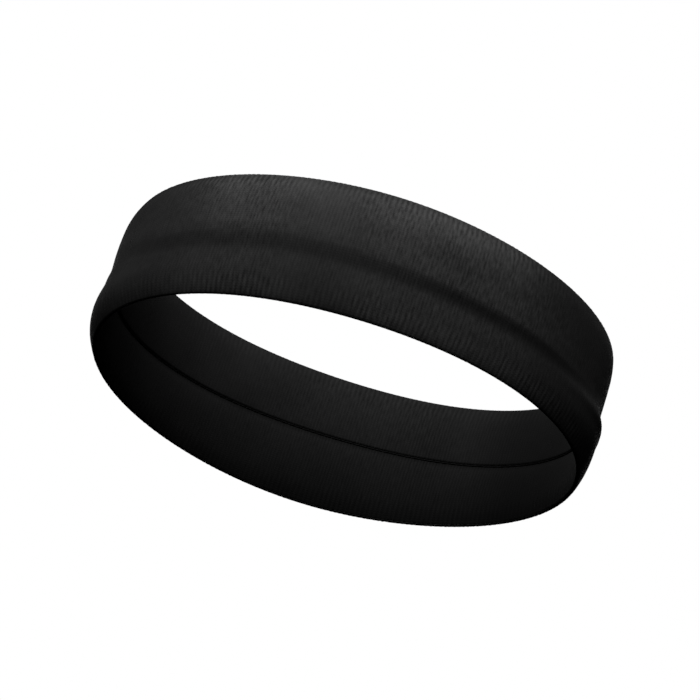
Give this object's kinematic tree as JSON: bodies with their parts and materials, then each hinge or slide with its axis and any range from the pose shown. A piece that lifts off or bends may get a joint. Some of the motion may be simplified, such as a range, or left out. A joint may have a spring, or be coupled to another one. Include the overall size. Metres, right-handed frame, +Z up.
{
  "type": "sports headband",
  "caption": "Stretch-knit sweat band for the head: a double-walled cloth loop with rolled edges, a soft groove round the outside and a sewn seam round the inside.",
  "frame": {"origin": "on the surface that the band stands on, below the middle of the head opening", "axes": "+X the long way across the loop, +Y the short way, +Z up through the head opening"},
  "size_m": [0.1874, 0.1254, 0.0555],
  "materials": {
    "knit_cloth": "matte fine-rib knit",
    "sewing_thread": "matte spun thread"
  },
  "bodies": {
    "root": {"outer_layer": "knit_cloth", "inner_upper_layer": "knit_cloth", "inner_lower_layer": "knit_cloth", "upper_turned_edge": "knit_cloth", "lower_turned_edge": "knit_cloth", "seam_needle_thread": "sewing_thread", "seam_looper_thread": "sewing_thread", "upper_overcast_thread": "sewing_thread", "lower_overcast_thread": "sewing_thread"}
  },
  "joints": []
}
